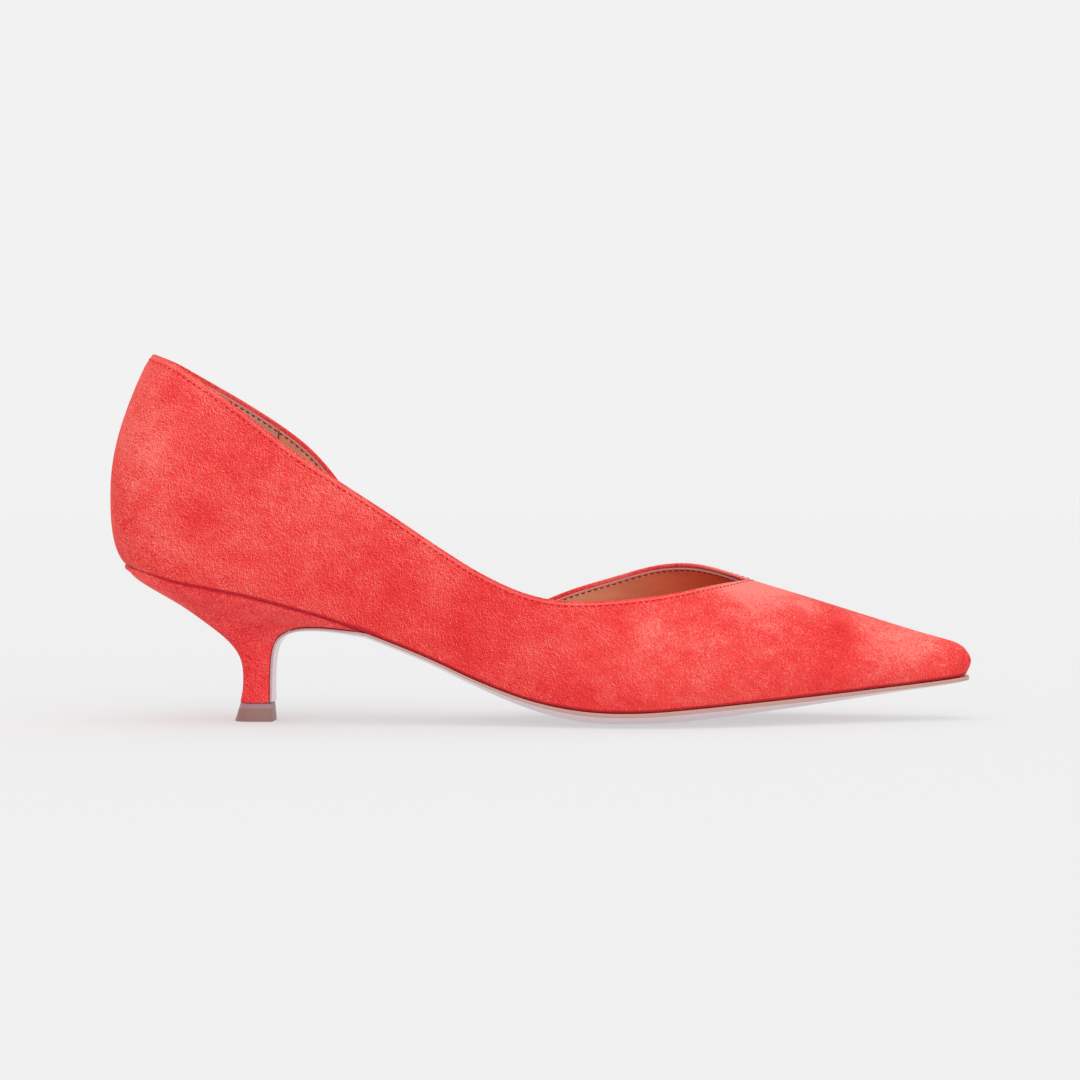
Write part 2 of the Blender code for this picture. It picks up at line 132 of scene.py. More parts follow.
def facesReached(piece, rays, softest):
    # the faces that each ray meets first, and all that follow on over soft edges
    mesh = bmesh.new()
    mesh.from_mesh(piece.data)
    mesh.faces.ensure_lookup_table()
    tree = BVHTree.FromBMesh(mesh)
    limit = math.radians(softest)
    reached = set()
    for start, way in rays:
        index = tree.ray_cast(Vector(start), Vector(way))[2]
        waiting = [mesh.faces[index]]
        while waiting:
            face = waiting.pop()
            if face.index in reached:
                continue
            reached.add(face.index)
            for edge in face.edges:
                if len(edge.link_faces) == 2 and edge.calc_face_angle() < limit:
                    waiting.extend(other for other in edge.link_faces if other.index not in reached)
    mesh.free()
    return reached


def keepFaces(piece, kept):
    startEdit(piece)
    pickFaces(piece, lambda face: face.index not in kept)
    bpy.ops.mesh.delete(type="FACE")
    endEdit()


def openLoops(piece):
    # each open rim of a mesh, as vertex numbers in their order
    uses = {}
    for face in piece.data.polygons:
        for pair in face.edge_keys:
            uses[pair] = uses.get(pair, 0) + 1
    beside = {}
    for (a, b), count in uses.items():
        if count == 1:
            beside.setdefault(a, []).append(b)
            beside.setdefault(b, []).append(a)
    loops = []
    left = set(beside)
    while left:
        step = min(left)
        loop = []
        while step is not None:
            loop.append(step)
            left.discard(step)
            step = next((number for number in beside[step] if number in left), None)
        loops.append(loop)
    return loops


def rimFrames(piece):
    # place, way down the wall and outward normal round the opening's edge
    mesh = piece.data
    loop = max(openLoops(piece), key=lambda numbers: max(mesh.vertices[n].co.z for n in numbers))
    facesOf = {}
    for face in mesh.polygons:
        for number in face.vertices:
            facesOf.setdefault(number, []).append(face)
    frames = []
    for i, number in enumerate(loop):
        place = mesh.vertices[number].co.copy()
        before = mesh.vertices[loop[i - 1]].co
        after = mesh.vertices[loop[(i + 1) % len(loop)]].co
        along = (after - before).normalized()
        normal = mesh.vertices[number].normal.copy()
        down = normal.cross(along).normalized()
        inside = sum((face.center for face in facesOf[number]), Vector()) / len(facesOf[number])
        if down.dot(inside - place) < 0:
            down.negate()
        frames.append({"number": number, "place": place, "down": down, "out": normal})
    # each way is evened with its neighbours, so that none strays at the point of the throat
    reach = shoe["evenedOver"]
    for way in ("down", "out"):
        ways = [one[way] for one in frames]
        for i, one in enumerate(frames):
            near = [ways[(i + step) % len(ways)] for step in range(-reach, reach + 1)]
            one[way] = sum(near, Vector()).normalized()
    return frames


def placesOf(frames):
    return [one["place"] for one in frames]


def treeOf(places):
    tree = KDTree(len(places))
    for i, place in enumerate(places):
        tree.insert(place, i)
    tree.balance()
    return tree


def surfaceOf(piece):
    places = [vertex.co.copy() for vertex in piece.data.vertices]
    return BVHTree.FromPolygons(places, [list(face.vertices) for face in piece.data.polygons])


def share(value, none, whole):
    # how far a value has come from none to whole, between 0 and 1
    return min(max((value - none) / (whole - none), 0.0), 1.0)


def towardsBack(place):
    return share(place.x, shoe["backFrom"], shoe["backEnd"])


def lowerRim(piece, amount, reach, lean, atThroat=0.0):
    # slides the top of a wall down along itself and in at the back, less and less further from the edge
    frames = rimFrames(piece)
    tree = treeOf(placesOf(frames))
    for vertex in piece.data.vertices:
        place, i, distance = tree.find(vertex.co)
        if distance < reach:
            here = amount + atThroat * share(place.x, shoe["throatFrom"], shoe["throatEnd"])
            inward = lean * towardsBack(place)
            vertex.co += (frames[i]["down"] * here - frames[i]["out"] * inward) * (1 - distance / reach)
    piece.data.update()


def press(piece, way, amount):
    # lets what faces one way sit closer on the piece that lies there
    way = Vector(way).normalized()
    moves = [way * amount * share(vertex.normal.dot(way), 0.0, 0.7) for vertex in piece.data.vertices]
    for vertex, move in zip(piece.data.vertices, moves):
        vertex.co += move
    piece.data.update()


def finely(points):
    # a path with further points set in, so that the nearest one is never far
    fine = []
    for place, onward in zip(points, points[1:]):
        steps = max(int((onward - place).length / shoe["fineStep"]), 1)
        fine.extend(place.lerp(onward, step / steps) for step in range(steps))
    return fine


def roundTurn(piece, width):
    # rounds the line where the wall turns under at the sole, and tells where it ran
    startEdit(piece, "EDGE")
    pickEdges(piece, isSharp)
    line = []
    for edge in bmesh.from_edit_mesh(piece.data).edges:
        if edge.select:
            line.extend(finely([vert.co.copy() for vert in edge.verts]))
    bpy.ops.mesh.bevel(offset=width, segments=2, affect="EDGES", clamp_overlap=True)
    endEdit()
    return line


def holdThroat(piece, weight):
    # keeps the point of the throat through subdividing
    corner = max(rimFrames(piece), key=lambda one: one["place"].x)["number"]
    point = piece.data.attributes.new("crease_vert", "FLOAT", "POINT")
    point.data[corner].value = weight


def markDistance(piece, name, places):
    # how far each vertex is from the nearest of some places, kept for the materials
    tree = treeOf(places)
    layer = piece.data.attributes.new(name, "FLOAT", "POINT")
    for vertex in piece.data.vertices:
        layer.data[vertex.index].value = tree.find(vertex.co)[2]


def markRim(piece, frames, outerCount):
    # the distance from the opening's edge, less than nothing on what is turned over it
    places = placesOf(frames)
    markDistance(piece, "rim", finely(places + places[:1]))
    layer = piece.data.attributes["rim"]
    for vertex in piece.data.vertices:
        if vertex.index >= outerCount:
            layer.data[vertex.index].value *= -1


def foldRim(piece, profile):
    # carries the rim on over a folded edge, each step so far inward and down from the edge, in millimetres
    frames = rimFrames(piece)
    numbers = {one["number"] for one in frames}
    here = placesOf(frames)
    startEdit(piece, "EDGE")
    pickEdges(piece, lambda edge: edge.is_boundary and all(vert.index in numbers for vert in edge.verts))
    for inward, downward in profile:
        tree = treeOf(here)
        onward = [one["place"] - one["out"] * inward * mm + one["down"] * downward * mm for one in frames]
        bpy.ops.mesh.extrude_edges_move()
        mesh = bmesh.from_edit_mesh(piece.data)
        for vert in mesh.verts:
            if vert.select:
                vert.co = onward[tree.find(vert.co)[1]]
        bmesh.update_edit_mesh(piece.data)
        here = onward
    endEdit()
    piece.data.shade_smooth()


def evenly(points, pitch):
    # steps of one length round a closed path, as places and ways along
    lengths = [(points[(i + 1) % len(points)] - point).length for i, point in enumerate(points)]
    total = sum(lengths)
    count = round(total / pitch)
    steps = []
    i = 0
    done = 0.0
    for step in range(count):
        goal = total * step / count
        while done + lengths[i] < goal:
            done += lengths[i]
            i += 1
        onward = points[(i + 1) % len(points)] - points[i]
        steps.append((points[i] + onward * ((goal - done) / max(lengths[i], 1e-9)), onward.normalized()))
    return steps


def joinCopies(pattern, places, name):
    # one piece made of many copies of a small one, each set in its own place
    copies = []
    for place in places:
        mesh = pattern.data.copy()
        mesh.transform(place)
        copy = bpy.data.objects.new(name, mesh)
        bpy.context.scene.collection.objects.link(copy)
        copies.append(copy)
    bpy.ops.object.select_all(action="DESELECT")
    for copy in copies:
        copy.select_set(True)
    bpy.context.view_layer.objects.active = copies[0]
    bpy.ops.object.join()
    joined = bpy.context.object
    joined.name = name
    bpy.data.objects.remove(pattern)
    return joined


def wear(piece, *materials):
    piece.data.materials.clear()
    for material in materials:
        piece.data.materials.append(material)


def settle(piece, slotName, *nodeNames):
    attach(piece, "root")
    if nodeNames:
        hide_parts(*nodeNames)


def tone(red, green, blue):
    # a screen colour of 0 to 255 as the renderer's own numbers
    parts = [value / 255 for value in (red, green, blue)]
    return tuple(v / 12.92 if v <= 0.04045 else ((v + 0.055) / 1.055) ** 2.4 for v in parts) + (1.0,)


def darker(colour, amount):
    return tuple(amount * value for value in colour[:3]) + (1.0,)


class Wire:
    # a socket in a material, so that sums on sockets are written as plain expressions
    def __init__(self, recipe, socket):
        self.recipe = recipe
        self.socket = socket

    def maths(self, operation, *values):
        return self.recipe.add("ShaderNodeMath", {"operation": operation}, dict(enumerate(values)))

    def __add__(self, other):
        return self.maths("ADD", self, other)

    def __radd__(self, other):
        return self.maths("ADD", other, self)

    def __sub__(self, other):
        return self.maths("SUBTRACT", self, other)

    def __rsub__(self, other):
        return self.maths("SUBTRACT", other, self)

    def __mul__(self, other):
        return self.maths("MULTIPLY", self, other)

    def __rmul__(self, other):
        return self.maths("MULTIPLY", other, self)

    def __abs__(self):
        return self.maths("ABSOLUTE", self)


class Recipe:
    def __init__(self, name):
        self.material = bpy.data.materials.new(name)
        self.material.use_nodes = True
        self.nodes = self.material.node_tree.nodes
        self.links = self.material.node_tree.links
        self.shader = self.nodes["Principled BSDF"]

    def feed(self, socket, value):
        if isinstance(value, Wire):
            self.links.new(value.socket, socket)
        else:
            socket.default_value = value

    def add(self, kind, settings, values, out=0):
        node = self.nodes.new(kind)
        for key, setting in settings.items():
            setattr(node, key, setting)
        for key, value in values.items():
            self.feed(node.inputs[key], value)
        return Wire(self, node.outputs[out])

    def set(self, **values):
        for key, value in values.items():
            self.feed(self.shader.inputs[key.replace("_", " ")], value)

    def place(self):
        return self.add("ShaderNodeTexCoord", {}, {}, "Object")

    def along(self, axis):
        return self.add("ShaderNodeSeparateXYZ", {}, {0: self.place()}, axis)

    def kept(self, name):
        return self.add("ShaderNodeAttribute", {"attribute_name": name}, {}, "Fac")

    def cloud(
        self, size, detail=2.0, rough=0.5, warp=0.0, stretch=(1, 1, 1), turn=(0, 0, 0), shift=(0, 0, 0)
    ):
        # soft noise whose patches are about that wide in metres
        values = {"Vector": self.place(), "Scale": stretch, "Rotation": turn, "Location": shift}
        spot = self.add("ShaderNodeMapping", {}, values)
        values = {"Vector": spot, "Scale": 1 / size, "Detail": detail, "Roughness": rough, "Distortion": warp}
        return self.add("ShaderNodeTexNoise", {}, values)

    def pebbles(self, size):
        values = {"Vector": self.place(), "Scale": 1 / size}
        return self.add("ShaderNodeTexVoronoi", {"feature": "F1"}, values)

    def fade(self, value, start, end):
        # 0 before start, 1 after end, soft between
        values = {"Value": value, "From Min": start, "From Max": end}
        return self.add("ShaderNodeMapRange", {"interpolation_type": "SMOOTHSTEP"}, values)

    def near(self, centre, reach):
        # 1 at a spot on the shoe, falling softly to 0 that far off
        ends = {0: self.place(), 1: centre}
        away = self.add("ShaderNodeVectorMath", {"operation": "DISTANCE"}, ends, "Value")
        return 1 - self.fade(away, 0.0, reach)

    def blend(self, amount, first, second):
        return self.add("ShaderNodeMix", {"data_type": "RGBA"}, {0: amount, 6: first, 7: second}, 2)

    def dent(self, height, depth, before=None):
        values = {"Height": height, "Distance": depth, "Strength": 1.0}
        if before is not None:
            values["Normal"] = before
        return self.add("ShaderNodeBump", {}, values)


suedeLook = {
    "light": tone(246, 134, 124),
    "middle": tone(238, 66, 63),
    # painted light: the heel's own middle tone, lighter to make up for the light that its downward wings lack
    "heel": tone(255, 72, 74),
    "dark": tone(208, 34, 43),
    "shade": tone(178, 22, 42),
    "toMiddle": (-0.42, 0.14),  # where the nap with its painted light and shade goes from dark to middle, and from middle to light
    "toLight": (0.10, 0.62),
    "patch": 30 * mm,
    "mottle": 5 * mm,
    "grain": 0.56 * mm,
    "fibre": 0.36 * mm,
    "patchShare": 0.75,
    "mottleShare": 0.5,
    "grainShare": 0.5,
    "fibreShare": 0.4,
    "relief": 0.24 * mm,
    "paintedReliefShift": (-0.16 * mm, 0.0, -0.13 * mm),  # painted light and shade on the grain's small bumps, as short strokes: the grain less itself shifted that far
    # how strong the painted light and shade on the bumps is, and how strong at the front
    "paintedRelief": 1.6,
    "paintedReliefFront": 0.85,
    "front": (70 * mm, 120 * mm),
    "frontTone": 0.13,
    # painted light: the suede lighter higher up, up to that height and by that much
    "paintedLightHeight": 70 * mm,
    "paintedLightAbove": 0.14,
    "turnFrom": 0.3 * mm,  # painted shade: a dark crimson line in the groove where the wall meets the sole and the heel
    "turnShade": 0.88 * mm,
    "turnDepth": 0.8,
    "jointShade": ((0.0328, -0.022, 0.0263), 8 * mm, 1.3 * mm),  # the painted shade wider in the gap where heel, upper and sole meet: place, reach and width
    "rimHighlightIn": (0.0, 0.1 * mm),  # a painted highlight of the sheen along the opening's edge
    "rimHighlightOut": (0.3 * mm, 0.9 * mm),
    "rimHighlight": 0.35,
    "seam": (0.12 * mm, 0.4 * mm),  # the back seam, half its width and where it fades
    "seamBehind": (-30 * mm, -29 * mm),
    "seamDepth": 0.25 * mm,
    "seamShade": 0.5,
    "sheen": 0.45,
    "sheenSpread": 0.28,
    "sheenTone": tone(255, 140, 130),
    "shadeAndDarkSpots": [  # darker spots: painted shade of a soft fold on the vamp, and darker patches low on the waist and at the back: place, reach and depth
        ((0.173, -0.010, 0.027), 8 * mm, 0.16),
        ((0.168, -0.014, 0.019), 8 * mm, 0.08),
        ((0.060, -0.030, 0.030), 34 * mm, 0.12),
        ((-0.0154, -0.023, 0.0605), 12 * mm, 0.34),
        ((-0.024, -0.019, 0.098), 7 * mm, 0.22),
        ((0.095, -0.030, 0.012), 16 * mm, 0.18),
    ],
    "lifted": [  # lighter spots, in the same way: painted light on the tops of the vamp and toe, and a lighter patch at the back
        ((0.148, 0.002, 0.037), 30 * mm, 0.52),
        ((0.188, 0.002, 0.025), 22 * mm, 0.34),
        ((0.164, -0.004, 0.032), 8 * mm, 0.30),
        ((-0.030, -0.018, 0.075), 13 * mm, 0.10),
    ],
}


def makeSuede(name, middle, rim):
    # brushed suede: broad soft patches, a fine worm-like nap and short fibres, with painted light and shade
    # on the nap's small bumps, higher up, in spots, along the opening's edge and in the groove at sole and
    # heel
    look = suedeLook
    recipe = Recipe(name)
    patch = recipe.cloud(look["patch"], warp=0.5)
    mottle = recipe.cloud(look["mottle"], 3.0, 0.55, 0.3, stretch=(1.0, 1.0, 1.4), turn=(0.2, 0.5, 0.3))
    grain = recipe.cloud(look["grain"], 0.6, 0.5, 1.3)
    above = recipe.cloud(look["grain"], 0.6, 0.5, 1.3, shift=look["paintedReliefShift"])
    fibre = recipe.cloud(look["fibre"], 1.0, 0.5, 0.3, stretch=(1.0, 1.0, 2.2), turn=(0.0, 0.7, 0.2))
    napLightShade = (patch - 0.5) * look["patchShare"] + (mottle - 0.5) * look["mottleShare"]
    napLightShade = napLightShade + (grain - 0.5) * look["grainShare"] + (fibre - 0.5) * look["fibreShare"]
    front = recipe.fade(recipe.along("X"), *look["front"])
    # painted light and shade on the grain's small bumps, less of it towards the front
    napLightShade = napLightShade + (grain - above) * (look["paintedRelief"] - front * (look["paintedRelief"] - look["paintedReliefFront"]))
    napLightShade = napLightShade + front * look["frontTone"]
    # painted light: lighter higher up
    napLightShade = napLightShade + recipe.fade(recipe.along("Z"), 0.0, look["paintedLightHeight"]) * look["paintedLightAbove"]
    # painted shade and darker patches, then painted light and lighter patches
    for centre, reach, depth in look["shadeAndDarkSpots"]:
        napLightShade = napLightShade - recipe.near(centre, reach) * depth
    for centre, reach, depth in look["lifted"]:
        napLightShade = napLightShade + recipe.near(centre, reach) * depth
    colour = recipe.blend(recipe.fade(napLightShade, *look["toMiddle"]), look["dark"], middle)
    colour = recipe.blend(recipe.fade(napLightShade, *look["toLight"]), colour, look["light"])
    # painted shade: the dark crimson line in the groove where the wall meets sole and heel, wider where they
    # all meet
    spot, reach, width = look["jointShade"]
    ends = recipe.near(spot, reach) * width + look["turnShade"]
    shaded = 1 - recipe.fade(recipe.kept("turn"), look["turnFrom"], ends)
    colour = recipe.blend(shaded * look["turnDepth"], colour, look["shade"])
    normal = recipe.dent(grain * 0.8 + fibre * 0.2, look["relief"])
    if rim:
        edge = recipe.kept("rim")
        # painted highlight along the opening's edge
        rimHighlight = recipe.fade(edge, *look["rimHighlightIn"]) * (1 - recipe.fade(edge, *look["rimHighlightOut"]))
        colour = recipe.blend(rimHighlight * look["rimHighlight"], colour, look["light"])
        seam = recipe.fade(abs(recipe.along("Y")), *look["seam"])
        seam = 1 - (1 - seam) * (1 - recipe.fade(recipe.along("X"), *look["seamBehind"]))
        normal = recipe.dent(seam, look["seamDepth"], normal)
        colour = recipe.blend((1 - seam) * look["seamShade"], colour, look["dark"])
    recipe.set(Base_Color=colour, Normal=normal, Roughness=0.95, Specular_IOR_Level=0.1)
    recipe.set(Sheen_Weight=look["sheen"], Sheen_Roughness=look["sheenSpread"], Sheen_Tint=look["sheenTone"])
    return recipe.material


liningLook = {
    "grip": tone(226, 172, 150),
    "quarter": tone(238, 166, 130),
    # painted shade and reflected coral light: the lining deeper red-brown towards the toe, between those
    # places along
    "vampShadeAndBounce": tone(246, 116, 78),
    "vampShadeFrom": (88 * mm, 140 * mm),
    "worn": tone(190, 108, 80),
    "wear": 0.3,
    "edge": tone(204, 130, 128),
    "edgeWidth": 0.12 * mm,
    "edgeSoft": 0.3 * mm,
    "seamTone": tone(92, 48, 40),
    "seam": -0.4 * mm,  # where the heel grip meets the quarter, leaning forward as it rises
    "seamLean": 0.08,
    "seamWidth": (0.12 * mm, 0.34 * mm),
    "seamShade": 0.85,
    "seamDepth": 0.2 * mm,
    "grain": 0.45 * mm,
    "grainDepth": 0.04 * mm,
    "stitched": 0.7 * mm,  # the channel that the stitches pull in
    "channel": (0.1 * mm, 0.45 * mm),
    "channelDepth": 0.15 * mm,
    "gripRoughness": 0.68,
    "smoother": 0.16,
}


def makeLining():
    look = liningLook
    recipe = Recipe("tanLining")
    edge = recipe.kept("rim")
    beyond = recipe.along("X") - look["seam"] - recipe.along("Z") * look["seamLean"]
    front = recipe.fade(beyond, -0.05 * mm, 0.05 * mm)
    seam = 1 - recipe.fade(abs(beyond), *look["seamWidth"])
    tint = recipe.cloud(7 * mm, 3.0, 0.5, 0.3, stretch=(0.4, 1.0, 1.8))
    pores = recipe.pebbles(look["grain"])
    colour = recipe.blend(front, look["grip"], look["quarter"])
    # painted shade and reflected coral light towards the toe
    colour = recipe.blend(recipe.fade(recipe.along("X"), *look["vampShadeFrom"]), colour, look["vampShadeAndBounce"])
    colour = recipe.blend(recipe.fade(tint, 0.3, 0.7) * look["wear"], colour, look["worn"])
    colour = recipe.blend(seam * look["seamShade"], colour, look["seamTone"])
    trimmed = 1 - recipe.fade(edge, look["edgeWidth"], look["edgeWidth"] + look["edgeSoft"])
    colour = recipe.blend(trimmed, colour, look["edge"])
    normal = recipe.dent(pores, look["grainDepth"])
    channel = recipe.fade(abs(edge - look["stitched"]), *look["channel"])
    normal = recipe.dent(channel, look["channelDepth"], normal)
    normal = recipe.dent(1 - seam, look["seamDepth"], normal)
    recipe.set(Base_Color=colour, Normal=normal, Roughness=look["gripRoughness"] - front * look["smoother"])
    recipe.set(Specular_IOR_Level=0.4)
    return recipe.material


def makeLeather(name, colour, roughness, grain=0.8 * mm, depth=0.03 * mm, coat=0.0):
    recipe = Recipe(name)
    tint = recipe.cloud(12 * mm, 3.0, 0.5, 0.2)
    shade = recipe.blend(tint * 0.3, colour, darker(colour, 0.72))
    recipe.set(Base_Color=shade, Normal=recipe.dent(recipe.pebbles(grain), depth), Roughness=roughness)
    if coat:
        recipe.set(Coat_Weight=coat, Coat_Roughness=0.18)
    return recipe.material


def makeThread(name, colour):
    recipe = Recipe(name)
    twist = recipe.cloud(0.25 * mm, 1.0)
    shade = recipe.blend(twist * 0.5, colour, darker(colour, 0.6))
    recipe.set(Base_Color=shade, Normal=recipe.dent(twist, 0.04 * mm), Roughness=0.8, Specular_IOR_Level=0.1)
    return recipe.material


# the upper's suede is the outside of the last, folded over at the opening
upperSizes = {
    "topDrop": 0.6 * mm,
    "dropReach": 4 * mm,
    "backLean": 0.8 * mm,
    "throatCrease": 0.6,
    "turn": 0.5 * mm,
    "underPress": 0.22 * mm,
    "outside": [  # rays that meet the outer side, the inner side and what is turned under
        ((0.05, -0.2, 0.045), (0, 1, 0)),
        ((0.05, 0.2, 0.022), (0, -1, 0)),
        ((0.05, -0.0185, -0.1), (0, 0, 1)),
    ],
    "fold": [
        (0.04, -0.26),
        (0.18, -0.47),
        (0.42, -0.6),
        (0.68, -0.57),
        (0.9, -0.36),
        (1.0, -0.05),
        (1.0, 0.9),
        (1.0, 2.8),
    ],
}

print("pump: suede upper")
suedeUpper = copySolid("upper", "suedeUpper")
keepFaces(suedeUpper, facesReached(suedeUpper, upperSizes["outside"], shoe["sharp"]))
featherLine = roundTurn(suedeUpper, upperSizes["turn"])
holdThroat(suedeUpper, upperSizes["throatCrease"])
smoothOut(suedeUpper, 2)
lowerRim(suedeUpper, upperSizes["topDrop"], upperSizes["dropReach"], upperSizes["backLean"])
press(suedeUpper, (0, 0, -1), upperSizes["underPress"])
upperRim = rimFrames(suedeUpper)
upperSurface = surfaceOf(suedeUpper)
outerCount = len(suedeUpper.data.vertices)
foldRim(suedeUpper, upperSizes["fold"])
markRim(suedeUpper, upperRim, outerCount)
wear(suedeUpper, makeSuede("coralSuede", suedeLook["middle"], True))
settle(suedeUpper, "suede", "upper")


liningSizes = {
    "turn": 0.4 * mm,
    "topDrop": 1.15 * mm,
    "throatDrop": 0.3 * mm,
    "dropReach": 6 * mm,
    "edge": [(0.1, -0.05), (0.3, -0.06), (0.58, -0.02), (0.64, 0.2), (0.64, 2.0)],
    "inside": [  # rays from in the shoe to its outer side, its inner side and what is turned under
        ((0.0, 0.0, 0.06), (0, -1, 0)),
        ((0.05, 0.0, 0.024), (0, 1, 0)),
        ((0.05, -0.0175, 0.034), (0, 0, -1)),
    ],
}

print("pump: lining")
quarterLining = copySolid("upper", "quarterLining")
keepFaces(quarterLining, facesReached(quarterLining, liningSizes["inside"], shoe["sharp"]))
roundTurn(quarterLining, liningSizes["turn"])
holdThroat(quarterLining, upperSizes["throatCrease"])
smoothOut(quarterLining, 2)
lowerRim(
    quarterLining,
    liningSizes["topDrop"],
    liningSizes["dropReach"],
    upperSizes["backLean"],
    liningSizes["throatDrop"],
)
liningRim = rimFrames(quarterLining)
liningSurface = surfaceOf(quarterLining)
wallCount = len(quarterLining.data.vertices)
foldRim(quarterLining, liningSizes["edge"])
markRim(quarterLining, liningRim, wallCount)
wear(quarterLining, makeLining())
settle(quarterLining, "lining")


stitchSizes = {
    "pitch": 2.0 * mm,
    "length": 1.3 * mm,
    "width": 0.46 * mm,
    "outerDrop": 1.0 * mm,
    "outerBack": 0.4 * mm,
    "outerSink": 0.04 * mm,
    "outerTone": tone(206, 34, 46),
    "innerDrop": 0.7 * mm,
    "innerTone": tone(122, 60, 54),
    "backFrom": 40 * mm,
}


def pathBeside(frames, offset, atBack):
    # points that run beside the edge, that far down the wall, and further down at the back
    points = []
    for one in frames:
        here = offset + atBack * share(one["place"].x, stitchSizes["backFrom"], 0.0)
        points.append(one["place"] + one["down"] * here)
    return points


def makeStitch(name):
    # one stitch: a short round thread
    bpy.ops.object.select_all(action="DESELECT")
    bpy.ops.mesh.primitive_uv_sphere_add(segments=8, ring_count=6, radius=0.5)
    stitch = bpy.context.object
    stitch.name = name
    startEdit(stitch)
    bpy.ops.mesh.select_all(action="SELECT")
    bpy.ops.transform.rotate(value=math.radians(90), orient_axis="Y", center_override=(0, 0, 0))
    bpy.ops.transform.resize(value=(stitchSizes["length"], stitchSizes["width"], stitchSizes["width"]))
    endEdit()
    stitch.data.shade_smooth()
    return stitch


def sewRow(name, path, surface, sink):
    places = []
    for point, way in evenly(path, stitchSizes["pitch"]):
        spot, normal = surface.find_nearest(point)[:2]
        side = normal.cross(way).normalized()
        way = side.cross(normal).normalized()
        turn = Matrix((way, side, normal)).transposed().to_4x4()
        places.append(Matrix.Translation(spot - normal * sink) @ turn)
    return joinCopies(makeStitch(name), places, name)


print("pump: stitches")
outerPath = pathBeside(upperRim, stitchSizes["outerDrop"], stitchSizes["outerBack"])
outerStitches = sewRow("outerStitches", outerPath, upperSurface, stitchSizes["outerSink"])
wear(outerStitches, makeThread("coralThread", stitchSizes["outerTone"]))
settle(outerStitches, "suede")
innerPath = pathBeside(liningRim, stitchSizes["innerDrop"], 0.0)
innerStitches = sewRow("innerStitches", innerPath, liningSurface, 0.0)
wear(innerStitches, makeThread("brownThread", stitchSizes["innerTone"]))
settle(innerStitches, "lining")


sockLook = {"edgeRound": 0.35 * mm, "leather": {"colour": tone(188, 128, 104), "roughness": 0.5}}

print("pump: sock")
sock = copySolid("insole", "sock")
roundEdges(sock, sockLook["edgeRound"], 2)
smoothOut(sock, 1)
wear(sock, makeLeather("sockLeather", **sockLook["leather"]))
settle(sock, "lining", "insole")


soleLook = {
    "edgeRound": 0.3 * mm,
    "flapFrom": 33 * mm,  # the leather further back goes down the heel's front
    "tread": ((0.11, 0.0, -0.1), (0, 0, 1)),
    "treadTurn": 45,
    "edge": {"colour": tone(196, 150, 138), "roughness": 0.45},
    "below": {
        "colour": tone(232, 202, 210),
        "roughness": 0.3,
        "grain": 1.2 * mm,
        "depth": 0.012 * mm,
        "coat": 0.5,
    },
    "flap": {"colour": tone(204, 166, 170), "roughness": 0.5},
}

print("pump: sole")
sole = copySolid("outsole", "sole")
below = facesReached(sole, [soleLook["tread"]], soleLook["treadTurn"])
wear(
    sole,
    makeLeather("soleEdge", **soleLook["edge"]),
    makeLeather("soleLeather", **soleLook["below"]),
    makeLeather("flapEdge", **soleLook["flap"]),
)
for face in sole.data.polygons:
    if face.index in below:
        face.material_index = 1
    elif face.center.x < soleLook["flapFrom"]:
        face.material_index = 2
startEdit(sole, "EDGE")
pickEdges(sole, isSharp)
bpy.ops.mesh.bevel(offset=soleLook["edgeRound"], segments=2, affect="EDGES")
endEdit()
smoothOut(sole, 2)
settle(sole, "sole_leather", "outsole")


heelSizes = {
    "seatRound": 0.7 * mm,
    "seatUp": 0.7,
    "edgeRound": 0.25 * mm,
    "breastPress": 0.18 * mm,
    "seatRay": ((0.0, 0.0, 0.1), (0, 0, -1)),
    "seatTurn": 40,
    "lipFront": 31 * mm,
    "bead": 0.5 * mm,
    "beadIn": 0.3 * mm,
    "beadDown": 0.16 * mm,
    "backBead": 0.5 * mm,
    "backIn": 0.5 * mm,
    "backUp": 0.5 * mm,
    "creaseOut": 0.55,
    "creaseUp": 0.8,
    "thinEnd": 0.35,
    "thinSteps": 6,
}

print("pump: heel")
# the heel's suede, with the heel's tone painted lighter for its downward wings
heelSuede = makeSuede("coralSuedeHeelPaintedLighter", suedeLook["heel"], False)
heel = copySolid("heel", "suedeHeel")
startEdit(heel, "EDGE")
pickEdges(heel, lambda edge: isSharp(edge) and max(f.normal.z for f in edge.link_faces) > heelSizes["seatUp"])
bpy.ops.mesh.bevel(offset=heelSizes["seatRound"], segments=3, affect="EDGES")
pickEdges(heel, isSharp)
bpy.ops.mesh.bevel(offset=heelSizes["edgeRound"], segments=2, affect="EDGES")
endEdit()
smoothOut(heel, 2)
press(heel, (1, 0, -1), heelSizes["breastPress"])
wear(heel, heelSuede)
settle(heel, "suede", "heel")


def beadWidth(place):
    return heelSizes["bead"] + heelSizes["backBead"] * towardsBack(place)


def lipPaths(frames):
    # the middle of the bead under the seat and the crease above it, from one front end round to the other
    bead = []
    crease = []
    for one in frames:
        if one["place"].x < heelSizes["lipFront"]:
            back = towardsBack(one["place"])
            inward = heelSizes["beadIn"] + heelSizes["backIn"] * back
            downward = heelSizes["beadDown"] - heelSizes["backUp"] * back
            thick = beadWidth(one["place"])
            centre = one["place"] + one["down"] * inward - Vector((0, 0, downward))
            rise = Vector((0, 0, thick * heelSizes["creaseUp"]))
            bead.append(centre)
            crease.append(centre - one["down"] * thick * heelSizes["creaseOut"] + rise)
    start = max(range(len(bead)), key=lambda i: (bead[i] - bead[i - 1]).length)
    return bead[start:] + bead[:start], crease[start:] + crease[:start]


